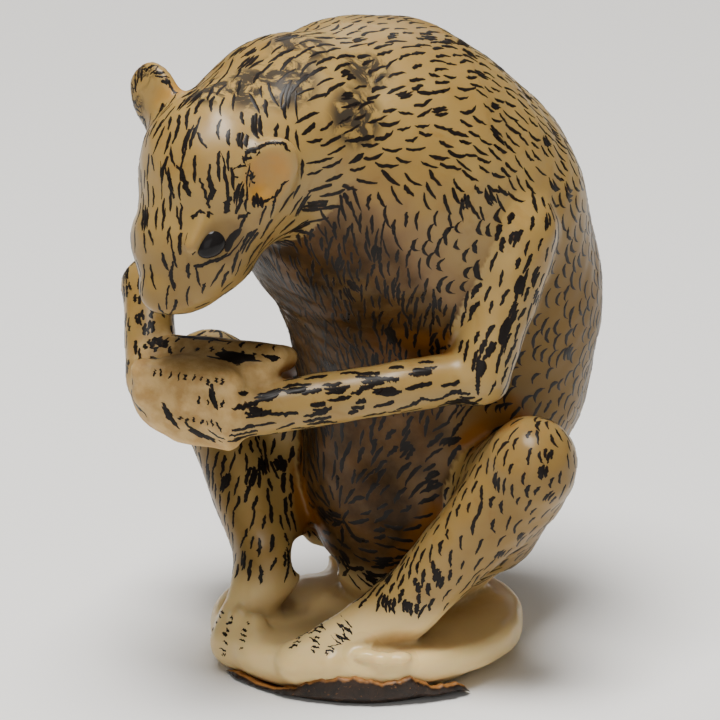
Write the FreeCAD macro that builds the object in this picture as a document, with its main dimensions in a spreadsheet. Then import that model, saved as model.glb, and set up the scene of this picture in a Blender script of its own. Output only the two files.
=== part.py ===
import FreeCAD, Part
import math
import os
import Sketcher

# A seated long-limbed animal carved from one tagua nut, about 60 mm tall. Millimetres, +Z up.
# The animal faces -Y, so its left side is +X. The underside of the base lies on Z = 0.

os.makedirs("parts", exist_ok=True)
doc = FreeCAD.newDocument("TaguaFigure")
sheet = doc.addObject("Spreadsheet::Sheet", "Sizes")

SIZES = {
    "base": {
        "base_radius": 14.0,
        "base_height": 4.4,
        "base_edge": 2.0,
        "base_under": 1.2,
        "skin_thickness": 0.6,
        "skin_height": 1.8,
        "skin_span": 78.0,
        "skin_turn": -86.0,
    },
    "trunk": {
        "hips_back": 6.0,
        "hips_rise": 10.6,
        "hips_half_width": 12.6,
        "hips_half_depth": 12.4,
        "hips_half_height": 12.8,
        "waist_back": 2.9,
        "waist_rise": 9.6,
        "waist_radius": 13.0,
        "chest_forward": 3.5,
        "chest_rise": 15.2,
        "chest_radius": 14.2,
        "hump_forward": 6.4,
        "hump_rise": 5.7,
        "hump_radius": 13.1,
        "nape_forward": 8.5,
        "nape_rise": 5.5,
        "nape_radius": 8.6,
    },
    "head": {
        "crown_forward": 8.7,
        "crown_drop": 2.0,
        "crown_radius": 7.7,
        "brow_forward": 3.2,
        "brow_drop": 5.2,
        "brow_radius": 5.7,
        "nose_forward": 3.8,
        "nose_drop": 3.9,
        "muzzle_root_radius": 5.2,
        "nose_radius": 2.2,
        "left_ear_lean": 72.0,
        "right_ear_lean": 50.0,
        "ear_forward": 1.0,
        "ear_lift": 0.8,
        "ear_half_width": 3.0,
        "ear_half_thickness": 1.7,
        "ear_half_height": 3.8,
        "eye_turn": 64.0,
        "eye_rise": 1.2,
        "eye_radius": 1.5,
        "eye_sink": 0.8,
    },
    "arms": {
        "left_shoulder_out": 13.2,
        "left_shoulder_forward": 0.2,
        "left_shoulder_rise": 1.0,
        "right_shoulder_out": 12.0,
        "right_shoulder_forward": 4.0,
        "right_shoulder_rise": 3.0,
        "shoulder_radius": 3.7,
        "left_elbow_out": 0.3,
        "left_elbow_forward": 5.2,
        "left_elbow_drop": 11.5,
        "right_elbow_out": -0.8,
        "right_elbow_forward": 15.6,
        "right_elbow_drop": 4.8,
        "elbow_radius": 3.0,
        "forearm_radius": 2.5,
        "wrist_radius": 2.1,
        "hands_forward": 26.6,
        "hands_drop": 10.4,
        "left_wrist_in": 2.2,
        "left_wrist_back": 1.8,
        "left_wrist_drop": 1.8,
        "right_wrist_out": 6.0,
        "right_wrist_forward": 0.5,
        "right_wrist_drop": 0.2,
        "hand_half_length": 4.5,
        "hand_half_width": 2.9,
        "hand_half_thickness": 2.4,
        "hands_apart": 3.6,
        "hand_turn": 30.0,
    },
    "legs": {
        "hip_out": 8.0,
        "hip_drop": 2.0,
        "hip_radius": 6.2,
        "left_knee_out": 9.6,
        "left_knee_forward": 3.8,
        "left_knee_rise": 8.4,
        "right_knee_out": 9.4,
        "right_knee_forward": 8.0,
        "right_knee_rise": 8.6,
        "knee_radius": 4.3,
        "shin_radius": 3.9,
        "ankle_radius": 2.7,
        "left_ankle_out": 9.0,
        "left_ankle_forward": 4.4,
        "left_ankle_rise": 3.4,
        "right_ankle_out": 6.4,
        "right_ankle_forward": 8.0,
        "right_ankle_rise": 3.4,
        "heel_radius": 2.5,
        "toe_radius": 2.0,
        "left_toe_in": 4.6,
        "left_toe_forward": 8.2,
        "right_toe_in": 1.8,
        "right_toe_forward": 3.9,
        "toe_rise": 0.4,
    },
}


def write_sizes():
    row = 1
    for group, cells in SIZES.items():
        sheet.set(f"A{row}", group)
        row += 1
        for name, value in cells.items():
            sheet.set(f"A{row}", name)
            sheet.set(f"B{row}", str(value))
            sheet.setAlias(f"B{row}", name)
            row += 1
    doc.recompute()


def landmark(name, x, y, z):
    """A point of the figure's skeleton: each coordinate is an expression."""
    point = doc.addObject("Part::Vertex", name)
    point.setExpression("X", x)
    point.setExpression("Y", y)
    point.setExpression("Z", z)
    doc.recompute()
    return point


def origin_plane(body, role):
    return [plane for plane in body.Origin.OriginFeatures if plane.Role == role][0]


def sketch_on(body, name, role):
    sketch = body.newObject("Sketcher::SketchObject", name)
    sketch.AttachmentSupport = [(origin_plane(body, role), "")]
    sketch.MapMode = "FlatFace"
    return sketch


def bind(sketch, constraint, name, expression):
    index = sketch.addConstraint(constraint)
    sketch.renameConstraint(index, name)
    sketch.setExpression(f"Constraints.{name}", expression)


def size(name):
    return float(sheet.get(name))


def limb(name, near, far, near_radius, far_radius):
    """A round limb that tapers from one landmark to another: half its outline, turned about its axis."""
    body = doc.addObject("PartDesign::Body", name)
    outline = sketch_on(body, f"{name}_outline", "XZ_Plane")
    span = f"({far.Name}.X - {near.Name}.X; {far.Name}.Y - {near.Name}.Y; {far.Name}.Z - {near.Name}.Z)"
    length = f"sqrt(pow({far.Name}.X - {near.Name}.X; 2) + pow({far.Name}.Y - {near.Name}.Y; 2)"
    length += f" + pow({far.Name}.Z - {near.Name}.Z; 2))"
    near_size = size(near_radius)
    far_size = size(far_radius)
    reach = math.dist((near.X, near.Y, near.Z), (far.X, far.Y, far.Z))
    lean = math.asin((near_size - far_size) / reach)

    def on_circle(height, radius, angle):
        return FreeCAD.Vector(radius * math.cos(angle), height + radius * math.sin(angle), 0)

    up = FreeCAD.Vector(0, 0, 1)
    near_circle = Part.Circle(FreeCAD.Vector(0, 0, 0), up, near_size)
    far_circle = Part.Circle(FreeCAD.Vector(0, reach, 0), up, far_size)
    near_end = outline.addGeometry(Part.ArcOfCircle(near_circle, -math.pi / 2, lean), False)
    far_end = outline.addGeometry(Part.ArcOfCircle(far_circle, lean, math.pi / 2), False)
    side = outline.addGeometry(
        Part.LineSegment(on_circle(0, near_size, lean), on_circle(reach, far_size, lean)), False
    )
    axis = outline.addGeometry(
        Part.LineSegment(FreeCAD.Vector(0, reach + far_size, 0), FreeCAD.Vector(0, -near_size, 0)), False
    )
    outline.addConstraint(Sketcher.Constraint("Coincident", near_end, 3, -1, 1))
    outline.addConstraint(Sketcher.Constraint("PointOnObject", far_end, 3, -2))
    outline.addConstraint(Sketcher.Constraint("Tangent", near_end, 2, side, 1))
    outline.addConstraint(Sketcher.Constraint("Tangent", side, 2, far_end, 1))
    outline.addConstraint(Sketcher.Constraint("Coincident", far_end, 2, axis, 1))
    outline.addConstraint(Sketcher.Constraint("Coincident", axis, 2, near_end, 1))
    outline.addConstraint(Sketcher.Constraint("PointOnObject", axis, 1, -2))
    outline.addConstraint(Sketcher.Constraint("PointOnObject", axis, 2, -2))
    near_width = Sketcher.Constraint("Radius", near_end, near_size)
    bind(outline, near_width, "near_radius", f"Sizes.{near_radius}")
    far_width = Sketcher.Constraint("Radius", far_end, far_size)
    bind(outline, far_width, "far_radius", f"Sizes.{far_radius}")
    bind(outline, Sketcher.Constraint("DistanceY", -1, 1, far_end, 3, reach), "reach", length)
    turned = body.newObject("PartDesign::Revolution", f"{name}_turned")
    turned.Profile = outline
    turned.ReferenceAxis = (outline, ["V_Axis"])
    turned.Angle = 360
    across = f"vector({near.Name}.Y - {far.Name}.Y; {far.Name}.X - {near.Name}.X; 0)"
    tilt = f"acos(({far.Name}.Z - {near.Name}.Z) / {length})"
    where = f"vector({near.Name}.X; {near.Name}.Y; {near.Name}.Z)"
    body.setExpression("Placement", f"placement({where}; rotation({across}; {tilt}))")
    return body


def egg(name, centre, half_width, half_depth, half_height, turn="rotation(0; 0; 0)"):
    """An ellipsoid about a landmark; half_width is along X before it is turned."""
    solid = doc.addObject("Part::Ellipsoid", name)
    solid.setExpression("Radius1", f"Sizes.{half_height}")
    solid.setExpression("Radius2", f"Sizes.{half_width}")
    solid.setExpression("Radius3", f"Sizes.{half_depth}")
    where = f"vector({centre.Name}.X; {centre.Name}.Y; {centre.Name}.Z)"
    solid.setExpression("Placement", f"placement({where}; {turn})")
    return solid


def without(label, solid, neighbours):
    """The solid less its neighbours, so that it meets each of them face to face."""
    if len(neighbours) == 1:
        taken = neighbours[0]
    else:
        taken = doc.addObject("Part::MultiFuse", f"{label}_neighbours")
        taken.Shapes = neighbours
    rest = doc.addObject("Part::Cut", f"{label}_cut")
    rest.Base = solid
    rest.Tool = taken
    return named(label, rest)


def named(label, solid):
    solid.Label = label
    sub_parts.append(solid)
    return solid


def rim_edges(feature, above):
    """The round edges at the top or at the bottom of a slab."""
    box = feature.Shape.BoundBox
    level = box.ZMax if above else box.ZMin
    edges = enumerate(feature.Shape.Edges, start=1)
    flat = [(i, e.BoundBox) for i, e in edges if e.BoundBox.ZLength < FLAT]
    return [f"Edge{i}" for i, span in flat if abs(span.ZMin - level) < FLAT]


def make_base():
    body = doc.addObject("PartDesign::Body", "Base")
    outline = sketch_on(body, "base_outline", "XY_Plane")
    rim = Part.Circle(FreeCAD.Vector(0, 0, 0), FreeCAD.Vector(0, 0, 1), size("base_radius"))
    circle = outline.addGeometry(rim, False)
    outline.addConstraint(Sketcher.Constraint("Coincident", circle, 3, -1, 1))
    radius = Sketcher.Constraint("Radius", circle, size("base_radius"))
    bind(outline, radius, "radius", "Sizes.base_radius")
    slab = body.newObject("PartDesign::Pad", "base_slab")
    slab.Profile = outline
    slab.setExpression("Length", "Sizes.base_height")
    doc.recompute()
    edge = body.newObject("PartDesign::Fillet", "base_round")
    edge.Base = (slab, rim_edges(slab, above=True))
    edge.setExpression("Radius", "Sizes.base_edge")
    doc.recompute()
    under = body.newObject("PartDesign::Fillet", "base_under_round")
    under.Base = (edge, rim_edges(edge, above=False))
    under.setExpression("Radius", "Sizes.base_under")
    return named("base", body)


def make_nut_skin(base):
    """The patch of seed coat left on the rim: a band turned part of the way round the base."""
    body = doc.addObject("PartDesign::Body", "NutSkin")
    section = sketch_on(body, "skin_section", "XZ_Plane")
    inside = size("base_radius") - size("base_under")
    outside = size("base_radius") + size("skin_thickness")
    top = size("skin_height")
    corners = [(inside, 0), (outside, 0), (outside, top), (inside, top)]
    points = [FreeCAD.Vector(x, y, 0) for x, y in corners]
    lines = [
        section.addGeometry(Part.LineSegment(points[i], points[(i + 1) % 4]), False) for i in range(4)
    ]
    for i in range(4):
        section.addConstraint(Sketcher.Constraint("Coincident", lines[i], 2, lines[(i + 1) % 4], 1))
    for i, direction in enumerate(("Horizontal", "Vertical", "Horizontal", "Vertical")):
        section.addConstraint(Sketcher.Constraint(direction, lines[i]))
    section.addConstraint(Sketcher.Constraint("PointOnObject", lines[0], 1, -1))
    inner = Sketcher.Constraint("DistanceX", -1, 1, lines[0], 1, inside)
    bind(section, inner, "inside", "Sizes.base_radius - Sizes.base_under")
    outer = Sketcher.Constraint("DistanceX", -1, 1, lines[0], 2, outside)
    bind(section, outer, "outside", "Sizes.base_radius + Sizes.skin_thickness")
    height = Sketcher.Constraint("DistanceY", lines[1], 1, lines[1], 2, top)
    bind(section, height, "top", "Sizes.skin_height")
    band = body.newObject("PartDesign::Revolution", "skin_band")
    band.Profile = section
    band.ReferenceAxis = (section, ["V_Axis"])
    band.setExpression("Angle", "Sizes.skin_span")
    turned = "placement(vector(0; 0; 0); rotation(vector(0; 0; 1); Sizes.skin_turn))"
    body.setExpression("Placement", turned)
    return without("nut_skin", body, [base])


def make_trunk(base):
    hips_up = "(Sizes.base_height + Sizes.hips_rise) * 1mm"
    hips_at = landmark("HipsAt", "0", "Sizes.hips_back * 1mm", hips_up)
    waist_up = "HipsAt.Z + Sizes.waist_rise * 1mm"
    waist = landmark("Waist", "0", "HipsAt.Y + Sizes.waist_back * 1mm", waist_up)
    chest_up = "Waist.Z + Sizes.chest_rise * 1mm"
    chest = landmark("Chest", "0", "Waist.Y - Sizes.chest_forward * 1mm", chest_up)
    hump_up = "Chest.Z + Sizes.hump_rise * 1mm"
    hump = landmark("Hump", "0", "Chest.Y - Sizes.hump_forward * 1mm", hump_up)
    nape = landmark("Nape", "0", "Hump.Y - Sizes.nape_forward * 1mm", "Hump.Z + Sizes.nape_rise * 1mm")
    hips = egg("Hips", hips_at, "hips_half_width", "hips_half_depth", "hips_half_height")
    trunk = {}
    trunk["hips"] = without("hips", hips, [base])
    torso = limb("Torso", waist, chest, "waist_radius", "chest_radius")
    trunk["torso"] = without("torso", torso, [hips])
    neck = limb("Neck", hump, nape, "hump_radius", "nape_radius")
    trunk["neck"] = without("neck", neck, [torso])
    return hips, torso, neck


def make_head(neck):
    crown_up = "Nape.Z - Sizes.crown_drop * 1mm"
    crown = landmark("Crown", "0", "Nape.Y - Sizes.crown_forward * 1mm", crown_up)
    brow = landmark("Brow", "0", "Crown.Y - Sizes.brow_forward * 1mm", "Crown.Z - Sizes.brow_drop * 1mm")
    nose = landmark("Nose", "0", "Brow.Y - Sizes.nose_forward * 1mm", "Brow.Z - Sizes.nose_drop * 1mm")
    skull = limb("Skull", crown, brow, "crown_radius", "brow_radius")
    muzzle = limb("Muzzle", brow, nose, "muzzle_root_radius", "nose_radius")
    eyes = []
    for side, sign in SIDES.items():
        depth = "(Sizes.brow_radius - Sizes.eye_sink) * 1mm"
        eye_at = landmark(
            f"{side}EyeAt",
            f"{sign} * {depth} * sin(Sizes.eye_turn)",
            f"Brow.Y - {depth} * cos(Sizes.eye_turn)",
            "Brow.Z + Sizes.eye_rise * 1mm",
        )
        eye = egg(f"{side}Eye", eye_at, "eye_radius", "eye_radius", "eye_radius")
        eyes.append(named(f"{side.lower()}_eye", eye))
    without("head", skull, [neck] + eyes)
    without("muzzle", muzzle, [skull] + eyes)
    for side, sign in SIDES.items():
        seat = "(Sizes.crown_radius + Sizes.ear_lift) * 1mm"
        angle = f"Sizes.{side.lower()}_ear_lean"
        ear_at = landmark(
            f"{side}EarAt",
            f"{sign} * {seat} * sin({angle})",
            "Crown.Y - Sizes.ear_forward * 1mm",
            f"Crown.Z + {seat} * cos({angle})",
        )
        lean = f"rotation(vector(0; 1; 0); {sign} * {angle})"
        ear = egg(f"{side}Ear", ear_at, "ear_half_width", "ear_half_thickness", "ear_half_height", lean)
        without(f"{side.lower()}_ear", ear, [skull, neck])


def make_arms(torso, neck):
    hands_up = "Chest.Z - Sizes.hands_drop * 1mm"
    hands_at = landmark("HandsAt", "0", "Chest.Y - Sizes.hands_forward * 1mm", hands_up)
    shoulders = {}
    for side, sign in SIDES.items():
        low = side.lower()
        shoulders[side] = landmark(
            f"{side}Shoulder",
            f"{sign} * Sizes.{low}_shoulder_out * 1mm",
            f"Chest.Y - Sizes.{low}_shoulder_forward * 1mm",
            f"Chest.Z + Sizes.{low}_shoulder_rise * 1mm",
        )
    left_elbow = landmark(
        "LeftElbow",
        "LeftShoulder.X + Sizes.left_elbow_out * 1mm",
        "LeftShoulder.Y - Sizes.left_elbow_forward * 1mm",
        "LeftShoulder.Z - Sizes.left_elbow_drop * 1mm",
    )
    right_elbow = landmark(
        "RightElbow",
        "RightShoulder.X - Sizes.right_elbow_out * 1mm",
        "RightShoulder.Y - Sizes.right_elbow_forward * 1mm",
        "RightShoulder.Z - Sizes.right_elbow_drop * 1mm",
    )
    left_wrist = landmark(
        "LeftWrist",
        f"{hands_at.Name}.X + Sizes.left_wrist_in * 1mm",
        f"{hands_at.Name}.Y + Sizes.left_wrist_back * 1mm",
        f"{hands_at.Name}.Z - Sizes.left_wrist_drop * 1mm",
    )
    right_wrist = landmark(
        "RightWrist",
        f"{hands_at.Name}.X - Sizes.right_wrist_out * 1mm",
        f"{hands_at.Name}.Y - Sizes.right_wrist_forward * 1mm",
        f"{hands_at.Name}.Z - Sizes.right_wrist_drop * 1mm",
    )
    left_hand_at = landmark(
        "LeftHandAt",
        "LeftWrist.X - Sizes.hand_half_length * 1mm * cos(Sizes.hand_turn)",
        "LeftWrist.Y - Sizes.hand_half_length * 1mm * sin(Sizes.hand_turn)",
        "LeftWrist.Z",
    )
    right_hand_at = landmark(
        "RightHandAt",
        "RightWrist.X + Sizes.hand_half_length * 1mm * cos(Sizes.hand_turn)",
        "RightWrist.Y + Sizes.hand_half_length * 1mm * sin(Sizes.hand_turn)",
        "LeftHandAt.Z + Sizes.hands_apart * 1mm",
    )
    joints = {
        "Left": (left_elbow, left_wrist, left_hand_at),
        "Right": (right_elbow, right_wrist, right_hand_at),
    }
    placed = []
    for side in SIDES:
        low = side.lower()
        elbow, wrist, hand_at = joints[side]
        upper = limb(f"{side}UpperArm", shoulders[side], elbow, "shoulder_radius", "elbow_radius")
        without(f"{low}_upper_arm", upper, [torso, neck])
        forearm = limb(f"{side}Forearm", elbow, wrist, "forearm_radius", "wrist_radius")
        without(f"{low}_forearm", forearm, [upper, torso] + placed)
        hand_size = ("hand_half_length", "hand_half_width", "hand_half_thickness")
        fingers_out = 180 if side == "Left" else 0
        turn = f"rotation(vector(0; 0; 1); Sizes.hand_turn + {fingers_out})"
        hand = egg(f"{side}Hand", hand_at, *hand_size, turn)
        without(f"{low}_hand", hand, [forearm] + placed)
        placed += [forearm, hand]


def make_legs(base, hips, torso):
    for side, sign in SIDES.items():
        low = side.lower()
        hip = landmark(
            f"{side}Hip",
            f"{sign} * Sizes.hip_out * 1mm",
            "HipsAt.Y",
            "HipsAt.Z - Sizes.hip_drop * 1mm",
        )
        knee = landmark(
            f"{side}Knee",
            f"{side}Hip.X + {sign} * Sizes.{low}_knee_out * 1mm",
            f"{side}Hip.Y - Sizes.{low}_knee_forward * 1mm",
            f"{side}Hip.Z + Sizes.{low}_knee_rise * 1mm",
        )
        ankle = landmark(
            f"{side}Ankle",
            f"{sign} * Sizes.{low}_ankle_out * 1mm",
            f"-Sizes.{low}_ankle_forward * 1mm",
            f"Sizes.base_height * 1mm + Sizes.{low}_ankle_rise * 1mm",
        )
        toes = landmark(
            f"{side}Toes",
            f"{side}Ankle.X - {sign} * Sizes.{low}_toe_in * 1mm",
            f"{side}Ankle.Y - Sizes.{low}_toe_forward * 1mm",
            "Sizes.base_height * 1mm + Sizes.toe_rise * 1mm",
        )
        thigh = limb(f"{side}Thigh", hip, knee, "hip_radius", "knee_radius")
        without(f"{low}_thigh", thigh, [base, hips, torso])
        shin = limb(f"{side}Shin", knee, ankle, "shin_radius", "ankle_radius")
        without(f"{low}_shin", shin, [base, thigh, hips, torso])
        foot = limb(f"{side}Foot", ankle, toes, "heel_radius", "toe_radius")
        without(f"{low}_foot", foot, [base, shin, hips])


def check_document():
    for item in doc.Objects:
        if "Invalid" in item.State or "Error" in item.State:
            raise RuntimeError(f"{item.Label} did not compute: {item.State}")
    for part in sub_parts:
        if part.Shape.isNull() or not part.Shape.isValid():
            raise RuntimeError(f"{part.Label} has no valid shape")
        if len(part.Shape.Solids) != 1:
            raise RuntimeError(f"{part.Label} is {len(part.Shape.Solids)} solids")


SIDES = {"Left": 1, "Right": -1}
FLAT = 1e-4
sub_parts = []
write_sizes()
base_slab = make_base()
make_nut_skin(base_slab)
hips_solid, torso_solid, neck_solid = make_trunk(base_slab)
make_head(neck_solid)
make_arms(torso_solid, neck_solid)
make_legs(base_slab, hips_solid, torso_solid)
doc.recompute()
check_document()
for sub_part in sub_parts:
    sub_part.Shape.exportStep(f"parts/{sub_part.Label}.step")
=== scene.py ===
import itertools
import math

import bmesh
import bpy
import numpy as np
import openvdb
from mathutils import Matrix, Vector
from mathutils.bvhtree import BVHTree


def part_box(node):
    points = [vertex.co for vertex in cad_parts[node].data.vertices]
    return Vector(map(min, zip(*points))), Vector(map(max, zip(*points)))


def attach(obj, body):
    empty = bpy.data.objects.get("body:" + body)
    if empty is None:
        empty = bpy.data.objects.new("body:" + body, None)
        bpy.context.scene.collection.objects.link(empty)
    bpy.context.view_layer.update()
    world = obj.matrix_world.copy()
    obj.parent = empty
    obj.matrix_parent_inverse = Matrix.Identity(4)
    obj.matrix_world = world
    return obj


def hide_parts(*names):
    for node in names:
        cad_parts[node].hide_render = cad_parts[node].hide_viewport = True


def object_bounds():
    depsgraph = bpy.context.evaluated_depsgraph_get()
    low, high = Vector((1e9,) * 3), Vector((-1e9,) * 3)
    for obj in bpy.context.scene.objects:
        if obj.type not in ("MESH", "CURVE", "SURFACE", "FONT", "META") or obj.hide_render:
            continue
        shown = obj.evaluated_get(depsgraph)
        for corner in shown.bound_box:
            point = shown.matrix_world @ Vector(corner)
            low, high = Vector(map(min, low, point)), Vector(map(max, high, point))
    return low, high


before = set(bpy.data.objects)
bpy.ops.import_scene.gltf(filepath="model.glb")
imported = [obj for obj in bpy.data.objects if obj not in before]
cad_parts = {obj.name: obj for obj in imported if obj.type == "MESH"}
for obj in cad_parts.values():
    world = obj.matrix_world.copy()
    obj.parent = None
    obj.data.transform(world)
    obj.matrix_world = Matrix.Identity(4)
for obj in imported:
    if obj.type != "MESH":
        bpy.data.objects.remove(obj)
cad_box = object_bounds()

MM = 0.001
# The distance that stands for "nowhere near the figure", in millimetres.
FAR = 9.0
# The flesh's grid, in millimetres. A finer grid takes the mesh past 200,000 triangles.
GRID_STEP = 0.37
GRID_MARGIN = 1.5
# Places tried for a stroke of fur, and the size of the cells that hold the places already taken.
FUR_SPOTS = 26000
FUR_CELL = 2.4


# ---------------------------------------------------------------- solid shapes, in millimetres

class Limb:
    """A round limb that tapers from one point to another."""

    def __init__(self, start, end, start_radius, end_radius):
        self.start = np.array(start, float)
        self.end = np.array(end, float)
        self.start_radius = start_radius
        self.end_radius = end_radius

    def box(self):
        wide = max(self.start_radius, self.end_radius)
        return np.minimum(self.start, self.end) - wide, np.maximum(self.start, self.end) + wide

    def distance(self, x, y, z):
        axis = self.end - self.start
        length = max(float(np.dot(axis, axis)), 1e-9)
        px, py, pz = x - self.start[0], y - self.start[1], z - self.start[2]
        along = np.clip((px * axis[0] + py * axis[1] + pz * axis[2]) / length, 0, 1)
        gap = np.sqrt(
            (px - axis[0] * along) ** 2 + (py - axis[1] * along) ** 2 + (pz - axis[2] * along) ** 2
        )
        return gap - (self.start_radius + (self.end_radius - self.start_radius) * along)


class Egg:
    """An ellipsoid, turned about X, Y and Z in that order, in degrees."""

    def __init__(self, centre, radii, turn=(0, 0, 0)):
        self.centre = np.array(centre, float)
        self.radii = np.array(radii, float)
        a, b, c = (math.radians(angle) for angle in turn)
        about_x = np.array([[1, 0, 0], [0, math.cos(a), -math.sin(a)], [0, math.sin(a), math.cos(a)]])
        about_y = np.array([[math.cos(b), 0, math.sin(b)], [0, 1, 0], [-math.sin(b), 0, math.cos(b)]])
        about_z = np.array([[math.cos(c), -math.sin(c), 0], [math.sin(c), math.cos(c), 0], [0, 0, 1]])
        self.axes = (about_z @ about_y @ about_x).T

    def box(self):
        wide = self.radii.max()
        return self.centre - wide, self.centre + wide

    def distance(self, x, y, z):
        px, py, pz = x - self.centre[0], y - self.centre[1], z - self.centre[2]
        level = 0
        slope = 0
        for axis, radius in zip(self.axes, self.radii):
            along = (px * axis[0] + py * axis[1] + pz * axis[2]) / radius
            level = level + along ** 2
            slope = slope + (along / radius) ** 2
        level = np.sqrt(level)
        return level * (level - 1) / np.maximum(np.sqrt(slope), 1e-6)


class Slab:
    """A round slab between two heights, with rounded edges."""

    def __init__(self, centre, radius, low, high, edge):
        self.centre = np.array(centre, float)
        self.radius = radius
        self.low = low
        self.high = high
        self.edge = edge

    def box(self):
        low = np.array([self.centre[0] - self.radius, self.centre[1] - self.radius, self.low])
        return low, np.array([self.centre[0] + self.radius, self.centre[1] + self.radius, self.high])

    def distance(self, x, y, z):
        out = np.hypot(x - self.centre[0], y - self.centre[1]) - (self.radius - self.edge)
        up = np.abs(z - (self.low + self.high) / 2) - ((self.high - self.low) / 2 - self.edge)
        outside = np.hypot(np.maximum(out, 0), np.maximum(up, 0))
        return outside + np.minimum(np.maximum(out, up), 0) - self.edge


def joined(first, second, blend):
    """The union of two distances, with a fillet about blend wide."""
    mix = np.clip(0.5 + 0.5 * (second - first) / blend, 0, 1)
    return second + (first - second) * mix - blend * mix * (1 - mix)


class Block:
    """Distances to a carved solid on a regular grid."""

    def __init__(self, low, high, step):
        self.low = np.array(low, float)
        self.step = step
        self.count = np.ceil((np.array(high, float) - self.low) / step).astype(int) + 1
        self.values = np.full(self.count, FAR, np.float32)

    def part(self, shape, margin):
        low, high = shape.box()
        first = np.clip(np.floor((low - margin - self.low) / self.step).astype(int), 0, self.count)
        last = np.clip(np.ceil((high + margin - self.low) / self.step).astype(int) + 1, 0, self.count)
        rows = [
            (self.low[i] + self.step * np.arange(first[i], last[i])).astype(np.float32) for i in range(3)
        ]
        x, y, z = np.meshgrid(*rows, indexing="ij", sparse=True)
        return tuple(slice(a, b) for a, b in zip(first, last)), x, y, z

    def add(self, shape, blend=1.0):
        where, x, y, z = self.part(shape, FAR)
        self.values[where] = joined(self.values[where], shape.distance(x, y, z), blend)

    def carve(self, shape, blend=0.3):
        where, x, y, z = self.part(shape, blend + 1)
        self.values[where] = -joined(-self.values[where], shape.distance(x, y, z), blend)

    def at(self, points):
        """The distance at some points, an (n, 3) array, between grid points."""
        place = np.clip((points - self.low) / self.step, 0, self.count - 1.001)
        first = place.astype(int)
        part = place - first
        total = 0
        for dx in (0, 1):
            for dy in (0, 1):
                for dz in (0, 1):
                    share = np.abs(1 - dx - part[:, 0]) * np.abs(1 - dy - part[:, 1])
                    share = share * np.abs(1 - dz - part[:, 2])
                    corner = self.values[first[:, 0] + dx, first[:, 1] + dy, first[:, 2] + dz]
                    total = total + share * corner
        return total

    def mesh(self, name):
        grid = openvdb.FloatGrid(FAR)
        grid.copyFromArray(self.values)
        points, quads = grid.convertToQuads(0.0)
        mesh = bpy.data.meshes.new(name)
        mesh.from_pydata(((points * self.step + self.low) * MM).tolist(), [], quads.tolist())
        mesh.shade_smooth()
        return mesh


def middle(node):
    """The middle of a CAD node, in millimetres."""
    low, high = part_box(node)
    return np.array((low + high) / 2) / MM


# ---------------------------------------------------------------- the figure's skeleton, in millimetres

HIPS = (0, 6.8, 15.5)
WAIST = (0, 9.4, 25.0)
FLANK = (0, 9.1, 31.5)
CHEST = (0, 6.5, 38.4)
WITHERS = (0, 2.8, 42.6)
HUMP = (0, -1.0, 45.5)
NAPE = (0, -9.5, 50.6)
CROWN = (0, -17.9, 49.0)
BROW = (0, -21.2, 43.8)
CHIN = (0, -22.6, 40.8)
NOSE = (0, -25.0, 40.1)
SHOULDER = {"left": (13.2, 5.2, 40.8), "right": (-12.0, 1.4, 42.8)}
ELBOW = {"left": (13.5, 0.0, 29.3), "right": (-12.1, -15.3, 35.0)}
WRIST = {"left": (2.2, -19.4, 27.6), "right": (-5.6, -21.2, 29.5)}
HIP = {"left": (8, 6, 13), "right": (-8, 6, 13)}
KNEE = {"left": (17.6, 2.2, 21.4), "right": (-17.7, -2.3, 21.6)}
CALF = {"left": (15.4, 2.9, 18.2), "right": (-12.0, 0.4, 14.5)}
ANKLE = {"left": (9.0, -4.4, 7.8), "right": (-5.5, -7.1, 8.2)}
TOES = {"left": (3.6, -12.8, 3.2), "right": (-5.0, -11.9, 2.4)}
EAR_SIZE = {"left": (2.4, 1.15, 3.2), "right": (2.7, 1.3, 3.3)}
EAR_FRONT = {"left": 1.7, "right": -1.5}
EAR = {"left": (6.4, -18.6, 51.0), "right": (-6.9, -19.0, 54.1)}
EAR_ROOT = (-5.6, -18.4, 54.4)
EAR_TURN = {"left": (10, 25, 50), "right": (0, -20, 5)}
# How far each eye is moved out of the head, along its own axis.
EYE_LIFT = {"left": -0.1, "right": -0.55}

TOE = {
    "left": (
        ((3.6, -9.9, 4.6), (3.9, -12.9, 3.2)),
        ((4.9, -9.4, 4.7), (5.5, -12.4, 3.5)),
        ((6.3, -8.2, 4.9), (6.8, -11.8, 3.7)),
    ),
    "right": (
        ((-5.9, -11.3, 4.8), (-6.3, -11.9, 1.6)),
        ((-4.1, -12.0, 5.0), (-4.1, -12.8, 1.6)),
        ((-2.4, -11.8, 4.9), (-1.9, -13.1, 2.2)),
    ),
}
WET_LUMPS = ((8.9, -9.6, 4.5), (10.2, -8.9, 4.3), (11.3, -7.6, 4.3))

# Where the ink on the nape has been rubbed, each with its radius.
SMUDGES = (
    ((-0.5, -18.6, 56.6), 2.4), ((1.9, -16.7, 57.1), 2.8), ((3.3, -14.0, 57.2), 3.0),
    ((5.4, -12.9, 52.6), 1.9),
    ((7.6, -9.6, 53.8), 2.6), ((1.5, -10.0, 58.3), 2.6), ((6.0, -6.0, 57.3), 2.2),
    ((-8.2, -19.6, 56.8), 1.6), ((-8.6, -20.4, 53.6), 1.4),
)

# The gap between the far ankle and the belly, close to a triangle seen from the front. It runs back
# past the edge of the base.
GAPS = (
    Egg((-9.5, 0.5, 6.05), (1.0, 13.0, 2.1), (-20, 0, 45)),
    Egg((-8.5, 1.5, 5.35), (2.0, 13.0, 1.15), (-20, 12, 45)),
)

EYE = {side: middle(f"{side}_eye") for side in ("left", "right")}


def unit(vectors):
    return vectors / np.maximum(np.linalg.norm(vectors, axis=-1, keepdims=True), 1e-9)


# The way that the chest and belly face, where brown staining is made darker as painted shade on their
# downward-facing parts.
FRONT = unit(np.array([-0.45, -0.75, -0.5]))
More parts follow.
